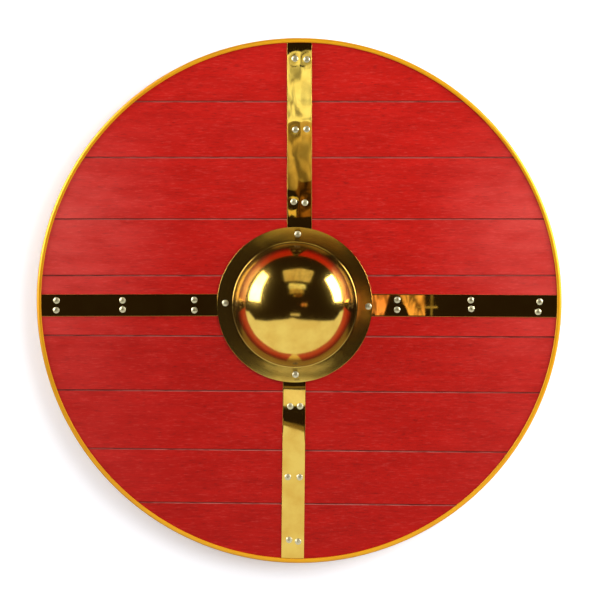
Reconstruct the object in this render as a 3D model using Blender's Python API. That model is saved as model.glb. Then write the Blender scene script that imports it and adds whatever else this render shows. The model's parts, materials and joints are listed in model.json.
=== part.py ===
"""A round shield of painted planks, 610 mm across, lying on its back with the boss up.

Metres, +Z up. X runs along the planks and Y across them. The origin lies under the middle of
the disc, in the plane that the grip's flat underside rests on.
"""

from collections import namedtuple
from math import atan2, cos, pi, radians, sin, sqrt, tan

import bmesh
import bpy
from mathutils import Matrix, Vector

MM = 0.001

# Fits
GAP = 0.0003  # left between pieces that touch
SHANK_CLEARANCE = 0.0003  # all round a rivet's shank in its hole

# Board, of planks cut to a disc
SHIELD_RADIUS = 0.305  # over the edge trim
BOARD_THICKNESS = 0.010
PLANK_WIDTH = 0.0667  # the middle plank's, which the side straps run along
END_PLANK_WIDTH = 0.070  # the top and bottom ones', in from the board's edge
PLANKS_EACH_SIDE = 4  # above and below the middle plank; those between share the rest evenly
MIDDLE_PLANK_Y = -0.00625  # the middle plank's centreline
PLANK_CHAMFER = 0.0008  # along each front edge that meets another plank

# The hand-laid joints, counted from the middle plank: slip along +Y in mm, and lean in degrees
JOINT_SLIPS = {
    4: (-2.1, 0.0),
    3: (1.6, 0.0),
    2: (-1.3, 0.0),
    1: (1.9, 0.0),
    -1: (-1.9, -0.20),
    -2: (-1.4, -0.34),
    -3: (-5.4, -0.54),
    -4: (-2.9, -0.55),
}

# Edge trim, a U channel pushed over the board's edge
TRIM_WIDTH = 0.0055  # seen from the front, from its outside to the edge of its lip
TRIM_WALL = 0.0016
TRIM_CORNER = 0.0035  # outside rounding

# Boss, a domed sheet with a flat flange
BOSS_X = -0.0052
BOSS_Y = -0.0049
BOSS_SHEET = 0.0013
DOME_RADIUS = 0.072  # where the dome would meet the flange without its fillet
DOME_HEIGHT = 0.050  # above the flange
DOME_FILLET = 0.0035
FLANGE_WIDTH = 0.018  # outwards from the dome's radius
HAND_HOLE_LEDGE = 0.014  # how far the planks reach in under the dome

# Straps, one from the boss to the trim on each side
STRAP_WIDTH = 0.0262
STRAP_THICKNESS = 0.001
STRAP_UNDER_FLANGE = 0.015

# Rivets
RIVET_HEAD_RADIUS = 0.004
RIVET_HEAD_HEIGHT = 0.0014
RIVET_SHANK_RADIUS = 0.002
RIVET_TAIL_RADIUS = 0.003
RIVET_TAIL_HEIGHT = 0.002
RIVET_SPACING = 0.012  # between the two rivets of a row
ROW_PAST_FLANGE = 0.028  # the first row of two, out from the flange's edge
ROW_FROM_EDGE = 0.025  # the last row of two, in from the shield's edge

# Grip, a wooden bar behind the board: thick in the hand, thin where it is riveted
GRIP_THICKNESS = 0.018
GRIP_THIN = 0.009
GRIP_WIDTH = 0.036
GRIP_HAND_WIDTH = 0.032
GRIP_END_WIDTH = 0.027
GRIP_HAND_ROUNDING = 0.006
GRIP_EDGE_ROUNDING = 0.0015
GRIP_PAST_HOLE = 0.004  # the thick part, past the hand hole's edge
GRIP_HAND_SHORTER = 0.012  # the rounded part, short of the hand hole's edge
GRIP_TAIL_ROOM = 0.003  # between the slope down to the thin part and the nearest rivet tail
GRIP_PAST_RIVETS = 0.024
GRIP_TIP = 0.010  # length of the narrowed tip at each end

# Facets
DISC_SIDES = 88
BOSS_SIDES = 48
HOLE_SIDES = 48
RIVET_SIDES = 8
TRIM_CORNER_STEPS = 2
DOME_STEPS = 7
DOME_INSIDE_STEPS = 5
FILLET_STEPS = 3
FILLET_INSIDE_STEPS = 2
GRIP_CORNER_STEPS = 2

# Each side's strap and rivets, as small slips from the sizes above, in mm and degrees: how much
# wider the strap is, how far to the left of a line out of the boss's middle it lies, and its
# lean. The boss rivet's slip is (outwards, degrees round the boss). A row's numbers are its slip
# outwards, its slip to the left, how much further apart its two rivets are, and how much further
# out the left one sits.
Arm = namedtuple("Arm", "name angle wider aside lean boss_rivet rows")
ARMS = (
    Arm(
        "right", 0, -0.5, 0.1, -0.36, (3.3, -1.3),
        {"inner": (0.9, 0.5, -0.6, 0.1), "middle": (3.0, 1.4, -2.0, -0.6), "outer": (-1.9, -0.8, -0.3, 1.9)},
    ),
    Arm(
        "top", 90, 2.4, -5.6, 0.0, (-0.3, -2.5),
        {"inner": (0.9, 0.2, 1.0, 1.1), "middle": (2.0, -1.8, 1.1, -0.5), "outer": (0.2, -1.6, 1.6, 0.9)},
    ),
    Arm(
        "left", 180, -0.8, 0.1, 0.13, (-1.8, -1.4),
        {"inner": (-1.6, 0.0, -0.1, -0.1), "middle": (3.3, -0.3, -1.5, -0.2), "outer": (1.7, 0.0, -0.8, 0.3)},
    ),
    Arm(
        "bottom", 270, 0.0, 0.6, -0.57, (-1.2, 0.7),
        {"inner": (-0.2, 1.2, -0.5, 0.0), "middle": (3.5, 0.4, 1.8, 0.2), "outer": (-1.2, 0.9, -1.5, 2.0)},
    ),
)
GRIPPED_ARMS = ("top", "bottom")  # the grip runs behind these
GRIPPED_ROWS = ("inner", "middle")

# Levels, from the surface that the grip rests on
BOARD_BACK = GRIP_THICKNESS + GAP
BOARD_FRONT = BOARD_BACK + BOARD_THICKNESS
STRAP_BACK = BOARD_FRONT + GAP
STRAP_FRONT = STRAP_BACK + STRAP_THICKNESS
FLANGE_BACK = STRAP_FRONT + GAP
FLANGE_FRONT = FLANGE_BACK + BOSS_SHEET
GRIP_THIN_BACK = GRIP_THICKNESS - GRIP_THIN

# Radii that follow from the sizes above
BOARD_RADIUS = SHIELD_RADIUS - TRIM_WALL - GAP
FLANGE_RADIUS = DOME_RADIUS + FLANGE_WIDTH
HAND_HOLE_RADIUS = DOME_RADIUS - HAND_HOLE_LEDGE
BOSS_CENTRE = Vector((BOSS_X, BOSS_Y))
WELD = 1e-7
PAST = 0.01  # how far a cutter runs past what it cuts


Rivet = namedtuple("Rivet", "name spot seat back")


def linear(channel):
    """A linear value from an sRGB one, both 0 to 1."""
    if channel <= 0.04045:
        return channel / 12.92
    return ((channel + 0.055) / 1.055) ** 2.4


def finish(name, colour, metallic, roughness):
    """A Principled material from an sRGB hex colour."""
    material = bpy.data.materials.new(name)
    material.use_nodes = True
    shader = material.node_tree.nodes["Principled BSDF"]
    rgb = [linear(int(colour[i : i + 2], 16) / 255) for i in (0, 2, 4)]
    shader.inputs["Base Color"].default_value = (*rgb, 1.0)
    shader.inputs["Metallic"].default_value = metallic
    shader.inputs["Roughness"].default_value = roughness
    material.diffuse_color = (*rgb, 1.0)
    return material


def clear_scene():
    for obj in list(bpy.data.objects):
        bpy.data.objects.remove(obj)


def mesh_from(name, bm, material=None, smooth_below=None):
    """A mesh from a bmesh, smooth where its faces meet at less than an angle in degrees."""
    bmesh.ops.recalc_face_normals(bm, faces=bm.faces)
    mesh = bpy.data.meshes.new(name)
    bm.to_mesh(mesh)
    bm.free()
    if material:
        mesh.materials.append(material)
    if smooth_below:
        mesh.shade_smooth()
        mesh.set_sharp_from_angle(angle=radians(smooth_below))
    return mesh


def place(name, mesh, parent=None, location=(0, 0, 0), turn=0.0):
    obj = bpy.data.objects.new(name, mesh)
    obj.location = location
    obj.rotation_euler.z = turn
    obj.parent = parent
    bpy.context.scene.collection.objects.link(obj)
    return obj


def place_cutter(name, bm, location=(0, 0, 0)):
    obj = place(name, mesh_from(name, bm), location=location)
    obj.hide_render = True
    obj.display_type = "WIRE"
    return obj


def boolean(obj, cutter, operation):
    modifier = obj.modifiers.new(cutter.name, "BOOLEAN")
    modifier.object = cutter
    modifier.operation = operation
    modifier.solver = "EXACT"


def lathe(profile, sides):
    """A solid turned about Z from (radius, height) points: a loop, or a line that ends on the axis."""
    bm = bmesh.new()
    verts = [bm.verts.new((radius, 0, height)) for radius, height in profile]
    edges = [bm.edges.new(pair) for pair in zip(verts, verts[1:])]
    if profile[0][0] > WELD:
        edges.append(bm.edges.new((verts[-1], verts[0])))
    bmesh.ops.spin(
        bm, geom=verts + edges, axis=(0, 0, 1), cent=(0, 0, 0), angle=2 * pi, steps=sides, use_merge=True
    )
    bmesh.ops.remove_doubles(bm, verts=bm.verts, dist=WELD)
    return bm


def cylinder(radius, bottom, top, sides):
    return lathe([(0, bottom), (radius, bottom), (radius, top), (0, top)], sides)


def arc(centre, radius, start, end, steps):
    """Points of an arc in a profile, between two angles in radians."""
    angles = [start + (end - start) * i / steps for i in range(steps + 1)]
    return [(centre[0] + radius * cos(a), centre[1] + radius * sin(a)) for a in angles]


def boss_along(arm):
    """Where the boss's centre lies as an arm sees it: x outwards, y to the left."""
    return Matrix.Rotation(radians(-arm.angle), 2) @ BOSS_CENTRE


def arm_point(arm, along, across):
    """The (x, y) of a point set out from the disc's middle along an arm's own centreline."""
    side = boss_along(arm).y + arm.aside * MM + along * tan(radians(arm.lean)) + across
    return Matrix.Rotation(radians(arm.angle), 2) @ Vector((along, side))


def row_distance(arm, row):
    """How far out a row of two rivets lies, as set out before its slip."""
    inner = boss_along(arm).x + FLANGE_RADIUS + ROW_PAST_FLANGE
    outer = SHIELD_RADIUS - ROW_FROM_EDGE
    return {"inner": inner, "middle": (inner + outer) / 2, "outer": outer}[row] + arm.rows[row][0] * MM


def row_centre(arm, row):
    return arm_point(arm, row_distance(arm, row), arm.rows[row][1] * MM)


def fillet_centre():
    """(radius, height) of the centre of the fillet between flange and dome, and the dome's own centre and radius."""
    sphere = (DOME_RADIUS**2 + DOME_HEIGHT**2) / (2 * DOME_HEIGHT)
    sphere_height = FLANGE_FRONT + DOME_HEIGHT - sphere
    height = FLANGE_FRONT + DOME_FILLET
    radius = sqrt((sphere + DOME_FILLET) ** 2 - (height - sphere_height) ** 2)
    return (radius, height), (0, sphere_height), sphere


def flange_rivet_radius():
    """The middle of the flange's flat ring."""
    return (fillet_centre()[0][0] + FLANGE_RADIUS) / 2


def rivets():
    """Every rivet: its name, place, the level under its head and the level above its tail."""
    found = []
    for arm in ARMS:
        behind_boss = GRIP_THIN_BACK if arm.name in GRIPPED_ARMS else BOARD_BACK
        slip, turn = arm.boss_rivet
        out = Matrix.Rotation(radians(arm.angle + turn), 2) @ Vector((flange_rivet_radius() + slip * MM, 0))
        found.append(Rivet(f"rivet_boss_{arm.name}", BOSS_CENTRE + out, FLANGE_FRONT, behind_boss))
        for row, (_, across, wider, skew) in arm.rows.items():
            gripped = arm.name in GRIPPED_ARMS and row in GRIPPED_ROWS
            back = GRIP_THIN_BACK if gripped else BOARD_BACK
            spacing = RIVET_SPACING + wider * MM
            for number, side in ((1, 0.5), (2, -0.5)):
                spot = arm_point(
                    arm, row_distance(arm, row) + side * skew * MM, across * MM + side * spacing
                )
                found.append(Rivet(f"rivet_{arm.name}_{row}_{number}", spot, STRAP_FRONT, back))
    return found


def rivet_hole_cutter():
    """One cutter with a round bar through every rivet hole."""
    bm = bmesh.new()
    radius = (RIVET_SHANK_RADIUS + SHANK_CLEARANCE) / cos(pi / RIVET_SIDES)
    height = FLANGE_FRONT + 2 * PAST
    for rivet in rivets():
        bmesh.ops.create_cone(
            bm, cap_ends=True, segments=RIVET_SIDES, radius1=radius, radius2=radius, depth=height,
            matrix=Matrix.Translation((*rivet.spot, FLANGE_FRONT / 2)),
        )
    return place_cutter("rivet_hole_cutter", bm)


def joints():
    """The joints between planks, from the top down, as (y at x = 0, slope)."""
    found = []
    steps = max(PLANKS_EACH_SIDE - 1, 1)
    for side in (1, -1):
        first = MIDDLE_PLANK_Y + side * PLANK_WIDTH / 2
        last = side * (BOARD_RADIUS - END_PLANK_WIDTH)
        for step in range(PLANKS_EACH_SIDE):
            slip, lean = JOINT_SLIPS.get(side * (step + 1), (0.0, 0.0))
            height = first + (last - first) * step / steps + slip * MM
            found.append((height, tan(radians(lean))))
    return sorted(found, reverse=True)


def plank_blank(lower, upper, left, right):
    """A plank before it is cut to the disc, between two joints and two ends, its front edges eased."""
    bm = bmesh.new()
    corners = []
    for x, (height, slope), inwards in (
        (left, lower, GAP / 2), (right, lower, GAP / 2), (right, upper, -GAP / 2), (left, upper, -GAP / 2)
    ):
        corners.append((x, height + slope * x + inwards))
    back = bm.faces.new([bm.verts.new((x, y, BOARD_BACK)) for x, y in corners])
    raised = bmesh.ops.extrude_face_region(bm, geom=[back])["geom"]
    front = [part for part in raised if isinstance(part, bmesh.types.BMVert)]
    bmesh.ops.translate(bm, verts=front, vec=(0, 0, BOARD_THICKNESS))
    long_edges = [
        edge for edge in bm.edges
        if all(vert in front for vert in edge.verts) and abs(edge.verts[0].co.x - edge.verts[1].co.x) > GAP
    ]
    bmesh.ops.bevel(bm, geom=long_edges, offset=PLANK_CHAMFER, segments=1, affect="EDGES")
    return bm


def build_planks(parent, hole_cutter):
    """Planks laid side by side, cut to a disc, with the hand hole and the rivet holes through them."""
    disc = place_cutter("board_disc", cylinder(BOARD_RADIUS, BOARD_BACK - PAST, BOARD_FRONT + PAST, DISC_SIDES))
    hand_hole = place_cutter(
        "hand_hole_cutter",
        cylinder(HAND_HOLE_RADIUS, BOARD_BACK - PAST, BOARD_FRONT + PAST, HOLE_SIDES),
        location=(BOSS_X, BOSS_Y, 0),
    )
    end = SHIELD_RADIUS + PAST
    edges = [(end, 0.0), *joints(), (-end, 0.0)]
    shades = ("C62219", "C22018", "C42019", "BE1F17", "C01F18", "BA1D17", "B61D18", "B21C17", "AC1B17")
    for number, (upper, lower) in enumerate(zip(edges, edges[1:]), start=1):
        name = f"plank_{number}"
        lengths = {name: (-end, end)}
        if lower[0] < MIDDLE_PLANK_Y < upper[0]:
            lengths = {f"{name}_left": (-end, BOSS_X - GAP / 2), f"{name}_right": (BOSS_X + GAP / 2, end)}
        for length_name, (left, right) in lengths.items():
            paint = finish(f"{length_name}_paint", shades[(number - 1) % len(shades)], 0.0, 0.38)
            mesh = mesh_from(length_name, plank_blank(lower, upper, left, right), paint)
            plank = place(length_name, mesh, parent)
            boolean(plank, disc, "INTERSECT")
            if lower[0] - PAST < BOSS_Y + HAND_HOLE_RADIUS and upper[0] + PAST > BOSS_Y - HAND_HOLE_RADIUS:
                boolean(plank, hand_hole, "DIFFERENCE")
            boolean(plank, hole_cutter, "DIFFERENCE")


def build_trim(parent):
    """The U channel over the board's edge, turned in one piece."""
    lip = SHIELD_RADIUS - TRIM_WIDTH
    inside = SHIELD_RADIUS - TRIM_WALL
    low = BOARD_BACK - GAP - TRIM_WALL
    high = BOARD_FRONT + GAP + TRIM_WALL
    turn = SHIELD_RADIUS - TRIM_CORNER
    profile = [
        (lip, high - TRIM_WALL),
        (lip, high),
        *arc((turn, high - TRIM_CORNER), TRIM_CORNER, pi / 2, 0, TRIM_CORNER_STEPS),
        *arc((turn, low + TRIM_CORNER), TRIM_CORNER, 0, -pi / 2, TRIM_CORNER_STEPS),
        (lip, low),
        (lip, low + TRIM_WALL),
        (inside, low + TRIM_WALL),
        (inside, high - TRIM_WALL),
    ]
    paint = finish("edge_trim_plastic", "FFC220", 0.0, 0.18)
    place("edge_trim", mesh_from("edge_trim", lathe(profile, DISC_SIDES), paint, smooth_below=50), parent)


def boss_line(inset, fillet_steps, dome_steps):
    """Points from the flange's inner edge up to the top of the dome, set in from the outside by a thickness."""
    fillet, dome, sphere = fillet_centre()
    rise = atan2(fillet[1] - dome[1], fillet[0])
    line = arc(fillet, DOME_FILLET + inset, -pi / 2, rise - pi, fillet_steps)
    line += arc(dome, sphere - inset, rise, pi / 2, dome_steps)[1:-1]
    return line + [(0, dome[1] + sphere - inset)]


def build_boss(parent, hole_cutter):
    """The hollow dome with its flange, which lies on the straps' ends."""
    outside = boss_line(0, FILLET_STEPS, DOME_STEPS)
    inside = boss_line(BOSS_SHEET, FILLET_INSIDE_STEPS, DOME_INSIDE_STEPS)
    profile = outside[::-1] + [(FLANGE_RADIUS, FLANGE_FRONT), (FLANGE_RADIUS, FLANGE_BACK)] + inside
    brass = finish("boss_brass", "E0B23C", 1.0, 0.07)
    mesh = mesh_from("boss", lathe(profile, BOSS_SIDES), brass, smooth_below=40)
    boss = place("boss", mesh, parent, location=(BOSS_X, BOSS_Y, 0))
    boolean(boss, hole_cutter, "DIFFERENCE")


def build_straps(parent, hole_cutter):
    """Flat strips from under the boss's flange to the trim's lip, whose curve their ends follow."""
    inside_trim = place_cutter(
        "strap_end_disc",
        cylinder(SHIELD_RADIUS - TRIM_WIDTH - GAP, STRAP_BACK - PAST, STRAP_FRONT + PAST, DISC_SIDES),
    )
    for arm in ARMS:
        start = boss_along(arm).x + FLANGE_RADIUS - STRAP_UNDER_FLANGE
        end = SHIELD_RADIUS + PAST
        width = STRAP_WIDTH + arm.wider * MM
        bm = bmesh.new()
        bmesh.ops.create_cube(bm, size=1)
        bmesh.ops.scale(bm, verts=bm.verts, vec=(end - start, width, STRAP_THICKNESS))
        brass = finish(f"strap_{arm.name}_brass", "D8A638", 1.0, 0.08)
        middle = arm_point(arm, (start + end) / 2, 0)
        strap = place(
            f"strap_{arm.name}",
            mesh_from(f"strap_{arm.name}", bm, brass),
            parent,
            location=(*middle, STRAP_BACK + STRAP_THICKNESS / 2),
            turn=radians(arm.angle + arm.lean),
        )
        boolean(strap, inside_trim, "INTERSECT")
        boolean(strap, hole_cutter, "DIFFERENCE")


def grip_section(along, width, back, rounding):
    """One closed section of the grip, across its length, with rounded corners."""
    half = width / 2
    middle = (GRIP_THICKNESS + back) / 2
    section = []
    for number, (side, level) in enumerate(((1, 1), (-1, 1), (-1, -1), (1, -1))):
        centre = (side * (half - rounding), middle + level * ((GRIP_THICKNESS - back) / 2 - rounding))
        start = number * pi / 2
        section += arc(centre, rounding, start, start + pi / 2, GRIP_CORNER_STEPS)
    return [(x, along, z) for x, z in section]


def loft(sections):
    """A solid through a row of closed sections with as many points each."""
    bm = bmesh.new()
    rings = [[bm.verts.new(point) for point in section] for section in sections]
    for ring, following in zip(rings, rings[1:]):
        for i in range(len(ring)):
            bm.faces.new((ring[i - 1], ring[i], following[i], following[i - 1]))
    bm.faces.new(rings[0])
    bm.faces.new(rings[-1])
    return bm


def build_grip(parent, hole_cutter):
    """The bar across the hand hole. It follows the line of the rivets above and below the boss."""
    by_name = {arm.name: arm for arm in ARMS}
    top = row_centre(by_name["top"], "middle")
    bottom = row_centre(by_name["bottom"], "middle")
    line = (top - bottom).normalized()
    hand = bottom + line * (BOSS_CENTRE - bottom).dot(line)
    thick = HAND_HOLE_RADIUS + GRIP_PAST_HOLE
    slope_end = flange_rivet_radius() - RIVET_TAIL_RADIUS - GRIP_TAIL_ROOM
    rounded = HAND_HOLE_RADIUS - GRIP_HAND_SHORTER

    def half_bar(length):
        """Sections from the hand outwards."""
        tip_width = GRIP_END_WIDTH - GRIP_TIP
        return [
            (rounded, GRIP_HAND_WIDTH, 0.0, GRIP_HAND_ROUNDING),
            (thick, GRIP_WIDTH, 0.0, GRIP_EDGE_ROUNDING),
            (slope_end, GRIP_WIDTH, GRIP_THIN_BACK, GRIP_EDGE_ROUNDING),
            (length - GRIP_TIP, GRIP_END_WIDTH, GRIP_THIN_BACK, GRIP_EDGE_ROUNDING),
            (length, tip_width, GRIP_THIN_BACK, GRIP_EDGE_ROUNDING),
        ]

    up = half_bar((top - hand).length + GRIP_PAST_RIVETS)
    down = half_bar((hand - bottom).length + GRIP_PAST_RIVETS)
    sections = [grip_section(-along, *rest) for along, *rest in reversed(down)]
    sections += [grip_section(along, *rest) for along, *rest in up]
    wood = finish("grip_wood", "B98D5C", 0.0, 0.6)
    mesh = mesh_from("grip", loft(sections), wood, smooth_below=50)
    grip = place("grip", mesh, parent, location=(*hand, 0), turn=atan2(line.y, line.x) - pi / 2)
    boolean(grip, hole_cutter, "DIFFERENCE")


def build_rivets(parent):
    """Domed rivets with a short closed tail, one mesh for each length of shank."""
    metal = finish("rivet_aluminium", "E4E2D8", 1.0, 0.28)
    sphere = (RIVET_HEAD_RADIUS**2 + RIVET_HEAD_HEIGHT**2) / (2 * RIVET_HEAD_HEIGHT)
    shoulder = RIVET_HEAD_RADIUS * 0.62
    shoulder_height = sqrt(sphere**2 - shoulder**2) - sphere + RIVET_HEAD_HEIGHT
    meshes = {}
    for rivet in rivets():
        length = round(rivet.seat - rivet.back, 6)
        if length not in meshes:
            end = -length - 2 * GAP
            profile = [
                (0, RIVET_HEAD_HEIGHT),
                (shoulder, shoulder_height),
                (RIVET_HEAD_RADIUS, 0),
                (RIVET_SHANK_RADIUS, 0),
                (RIVET_SHANK_RADIUS, end),
                (RIVET_TAIL_RADIUS, end),
                (0, end - RIVET_TAIL_HEIGHT),
            ]
            meshes[length] = mesh_from(f"rivet_{len(meshes) + 1}", lathe(profile, RIVET_SIDES), metal, 50)
        place(rivet.name, meshes[length], parent, location=(*rivet.spot, rivet.seat + GAP))


def main():
    clear_scene()
    shield = place("shield", None)
    hole_cutter = rivet_hole_cutter()
    build_planks(shield, hole_cutter)
    build_trim(shield)
    build_boss(shield, hole_cutter)
    build_straps(shield, hole_cutter)
    build_grip(shield, hole_cutter)
    build_rivets(shield)


main()
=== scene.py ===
"""Looks of a round planked shield with a brass boss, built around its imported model.

Run as a script in Blender 4.5. Metres, +Z up: the shield lies on its back with the boss up, X runs
along the planks, and +Y is the top of the shield.
"""

import json
from math import atan2, cos, exp, pi, radians, sin, sqrt

import bmesh
import bpy
from bpy.props import FloatProperty, FloatVectorProperty, IntProperty, PointerProperty
from mathutils import Matrix, Vector, noise


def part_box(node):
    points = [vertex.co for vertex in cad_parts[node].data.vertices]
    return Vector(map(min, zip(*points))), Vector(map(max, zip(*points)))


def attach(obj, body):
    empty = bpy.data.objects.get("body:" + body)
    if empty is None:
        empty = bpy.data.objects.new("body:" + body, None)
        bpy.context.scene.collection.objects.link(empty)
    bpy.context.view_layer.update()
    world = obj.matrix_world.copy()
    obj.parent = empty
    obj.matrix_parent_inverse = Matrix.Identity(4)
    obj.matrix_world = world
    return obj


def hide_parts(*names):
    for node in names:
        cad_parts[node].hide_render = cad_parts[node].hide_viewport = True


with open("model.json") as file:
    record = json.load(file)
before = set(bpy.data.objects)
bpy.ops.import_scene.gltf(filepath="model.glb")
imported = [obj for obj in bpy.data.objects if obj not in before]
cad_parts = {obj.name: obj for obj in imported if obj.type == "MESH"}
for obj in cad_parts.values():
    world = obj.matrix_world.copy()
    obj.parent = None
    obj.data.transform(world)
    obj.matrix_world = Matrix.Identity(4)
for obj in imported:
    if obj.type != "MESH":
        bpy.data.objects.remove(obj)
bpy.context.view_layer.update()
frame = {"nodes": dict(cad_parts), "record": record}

bl_info = {
    "name": "Round shield looks",
    "version": (1, 0, 0),
    "blender": (4, 5, 0),
    "location": "3D View > Sidebar > Shield",
    "description": "Finishes a planked round shield: paint, brass, rivets, edge trim, grip and stage",
    "category": "Object",
}

MM = 0.001
TRIM_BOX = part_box("edge_trim")
BOSS_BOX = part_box("boss")
PLANK_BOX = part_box("plank_3")
STRAP_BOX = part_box("strap_top")
GRIP_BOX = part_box("grip")
SHIELD_RADIUS = TRIM_BOX[1].x
BOSS_CENTRE = Vector(((BOSS_BOX[0].x + BOSS_BOX[1].x) / 2, (BOSS_BOX[0].y + BOSS_BOX[1].y) / 2))
FLANGE_RADIUS = (BOSS_BOX[1].x - BOSS_BOX[0].x) / 2
SIDES = {"right": 0, "top": 90, "left": 180, "bottom": 270}
RIVET_NODES = sorted(name for name in frame["nodes"] if name.startswith("rivet_"))

# Where things are in the 600 x 600 photo
PHOTO_SIZE = 600
PHOTO_DISC_CENTRE = (299.15, 300.49)
PHOTO_DISC_RADIUS = 262.2
PHOTO_NICKS = ((252.6, 46.7), (361.7, 49.0), (492.5, 125.5), (533.9, 422.9))


def linear(code):
    """A linear colour with alpha from an sRGB hex code."""
    channels = [int(code[i : i + 2], 16) / 255 for i in (0, 2, 4)]
    return (*(c / 12.92 if c <= 0.04045 else ((c + 0.055) / 1.055) ** 2.4 for c in channels), 1.0)


def length(name, description, default):
    return FloatProperty(name=name, description=description, default=default, unit="LENGTH", precision=5)


def colour(name, description, code):
    return FloatVectorProperty(
        name=name, description=description, default=linear(code), subtype="COLOR", size=4, min=0, max=1
    )


class ShieldSizes(bpy.types.PropertyGroup):
    """Sizes of the pieces that stand for CAD nodes."""

    joint_width: length("Joint width", "Of the dried paint between two planks", 0.00032)
    joint_sink: length("Joint sink", "From the planks' faces down to the dried paint", 0.0007)
    trim_lip: length("Trim lip", "Width of the trim's lips, seen from the front", 0.0055)
    trim_wall: length("Trim wall", "Thickness of the trim", 0.0016)
    trim_corner: length("Trim corner", "Outside rounding of the trim", 0.0035)
    trim_wave: length("Trim wave", "How far the trim's face wanders in and out", 0.00012)
    trim_segments: IntProperty(name="Trim segments", description="Sides of the ring", default=288)
    sheet: length("Boss sheet", "Thickness of the boss", 0.0013)
    dome_radius: length("Dome radius", "Where the dome would meet the flange", 0.072)
    dome_fillet: length("Dome fillet", "Rounding between dome and flange", 0.0018)
    flange_edge: length("Flange edge", "Rounding of the flange's rim", 0.0003)
    boss_segments: IntProperty(name="Boss segments", description="Sides of the dome", default=160)
    strap_bulge: length("Strap bulge", "How far a strap stands up between its rivets", 0.00004)
    top_strap_bulge: length("Top strap bulge", "The same for the most bent strap", 0.00012)
    strap_wave: length("Strap wave", "How wavy the straps are", 0.00002)
    top_strap_wave: length("Top strap wave", "How wavy the most bent strap is", 0.00013)
    strap_dip: length("Strap dip", "Radius of the dip round a rivet", 0.0085)
    strap_edge: length("Strap edge", "Rounding of a strap's long edges", 0.00022)
    head_radius: length("Rivet head", "Radius of a rivet's head", 0.0037)
    head_height: length("Rivet head height", "Height of a rivet's head", 0.0014)
    core_radius: length("Rivet core", "Radius of the dimple in a rivet's head", 0.00125)
    shank_radius: length("Rivet shank", "Radius of a rivet's shank", 0.002)
    tail_radius: length("Rivet tail", "Radius of a rivet's tail", 0.003)
    tail_height: length("Rivet tail height", "Height of a rivet's tail", 0.002)
    hole_clearance: length("Hole clearance", "All round a rivet's shank", 0.0003)
    grip_width: length("Grip width", "Widest, at the ends of the hand part", 0.036)
    grip_hand_width: length("Grip hand width", "In the middle of the hand", 0.032)
    grip_end_width: length("Grip end width", "Before the tips", 0.027)
    grip_tip: length("Grip tip", "Length of the narrowed tips", 0.010)
    grip_thin: length("Grip thin part", "Thickness where it is riveted", 0.009)
    camera_distance: length("Camera distance", "From the trim's face to the camera", 2.5)


class ShieldColours(bpy.types.PropertyGroup):
    """Colours of the finishes."""

    paint: colour("Paint", "Red paint on the planks", "B61207")
    paint_deep: colour("Deep paint", "The paint in pores", "780E08")
    # Chalky paint is mostly a painted sheen, laid on towards the planks' ends; the rest is pale ridges between the
    # pores
    pale_paint_and_sheen: colour("Pale paint and sheen", "Where the paint is dull and pale", "D65E56")
    # Edge paint is painted shade on the down-facing bevels; it also darkens the up-facing ones between rubbed
    # stretches, and the joints' dried paint
    dark_paint_and_shade: colour("Edge paint and shade", "Dirt along the planks' edges", "6A221C")
    # Worn paint is rubbed paint that also stands for a painted highlight on the up-facing bevels
    worn_paint_and_highlight: colour("Worn paint and highlight", "Rubbed upper edges of the planks", "A4564E")
    joint_paint: colour("Joint paint", "Dried paint in the joints", "B05248")
    pine: colour("Pine", "Bare wood of the planks' backs", "C79C66")
    pine_dark: colour("Pine grain", "Dark grain of the planks' backs", "8F6238")
    brass: colour("Brass", "Polished brass", "F2CB62")
    brass_dull: colour("Dull brass", "Where the polish is thinner", "E0AE48")
    # Tarnished brass is a painted reflection: a dull olive ring at the foot of the dome
    brass_foot_reflection: colour("Painted foot reflection", "Round the foot of the dome", "8C6E3A")
    trim: colour("Trim", "Yellow trim", "ECA60A")
    trim_deep: colour("Deep trim", "The trim's darker stretches", "E29608")
    aluminium: colour("Aluminium", "Rivets", "D0C6A0")
    grip_wood: colour("Grip wood", "Oiled ash", "B98D5C")
    grip_grain: colour("Grip grain", "Dark grain of the grip", "7A5230")
    floor: colour("Floor", "Matt white table top", "FAFAFF")


def set_inputs(tree, node, inputs):
    """Links a node's inputs, given by name or in their order, to sockets, or sets them to values."""
    for name, value in inputs.items() if isinstance(inputs, dict) else enumerate(inputs):
        if isinstance(value, bpy.types.NodeSocket):
            tree.links.new(value, node.inputs[name])
        else:
            node.inputs[name].default_value = value


def add_node(tree, kind, inputs=(), stops=(), **settings):
    """The outputs of a new node, with its inputs, its colour stops and its settings. A kind that names
    no family is a shader node."""
    node = tree.nodes.new(kind if "Node" in kind else f"ShaderNode{kind}")
    for name, value in settings.items():
        setattr(node, name, value)
    set_inputs(tree, node, inputs)
    for number, (position, value) in enumerate(stops):
        stop = node.color_ramp.elements[number]
        stop.position, stop.color = position, value
    return node.outputs


def start_material(name):
    """A new material, its tree, its shader and the object's own coordinates."""
    material = bpy.data.materials.new(name)
    material.use_nodes = True
    tree = material.node_tree
    return material, tree, tree.nodes["Principled BSDF"], add_node(tree, "TexCoord")["Object"]


def grey(value):
    return (value, value, value, 1.0)


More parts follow.
